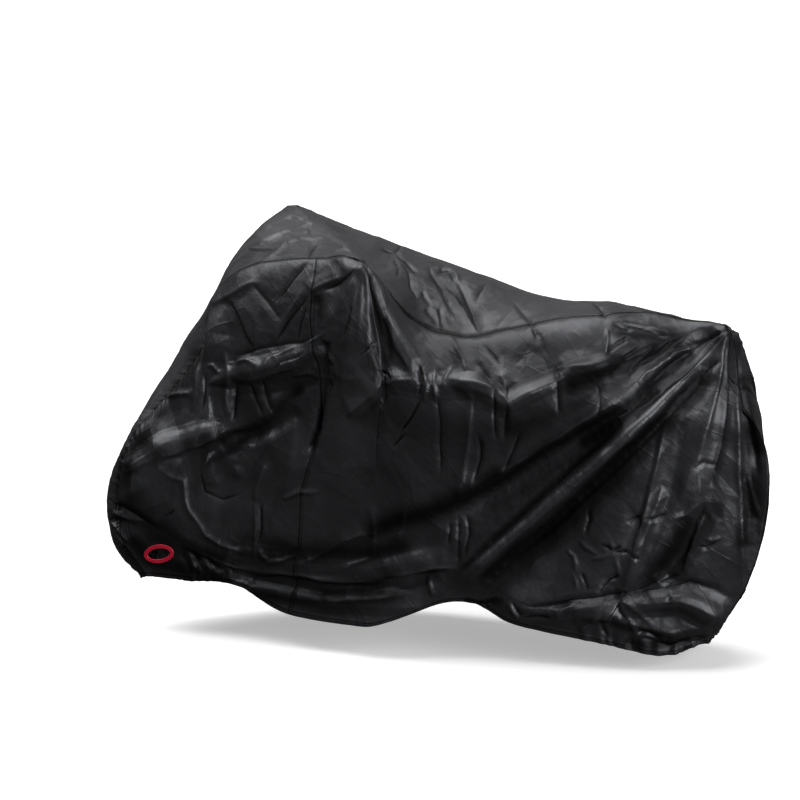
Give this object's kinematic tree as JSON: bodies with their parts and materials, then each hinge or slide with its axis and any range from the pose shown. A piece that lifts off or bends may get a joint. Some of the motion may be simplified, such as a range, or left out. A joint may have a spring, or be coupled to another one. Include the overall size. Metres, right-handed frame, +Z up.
{
  "type": "bicycle cover",
  "caption": "Thin fitted cloth cover draped over a bicycle that is left out, hollow and open below, with a top strip, side panels, an elastic hem at both ends and oval lock eyelets.",
  "frame": {"origin": "point under the top strip that rests on the bicycle's saddle", "axes": "+X towards the bicycle's rear wheel, +Y towards its right side, +Z up; the ground is at Z = -0.938"},
  "size_m": [1.7998, 0.6879, 1.0359],
  "materials": {
    "cloth": "black coated nylon taffeta, semi-gloss, with small creases",
    "eyelet": "red soft plastic, satin"
  },
  "bodies": {
    "root": {"top_strip": "cloth", "left_front_panel": "cloth", "left_rear_panel": "cloth", "right_front_panel": "cloth", "right_rear_panel": "cloth", "left_eyelet": "eyelet", "right_eyelet": "eyelet"}
  },
  "joints": []
}
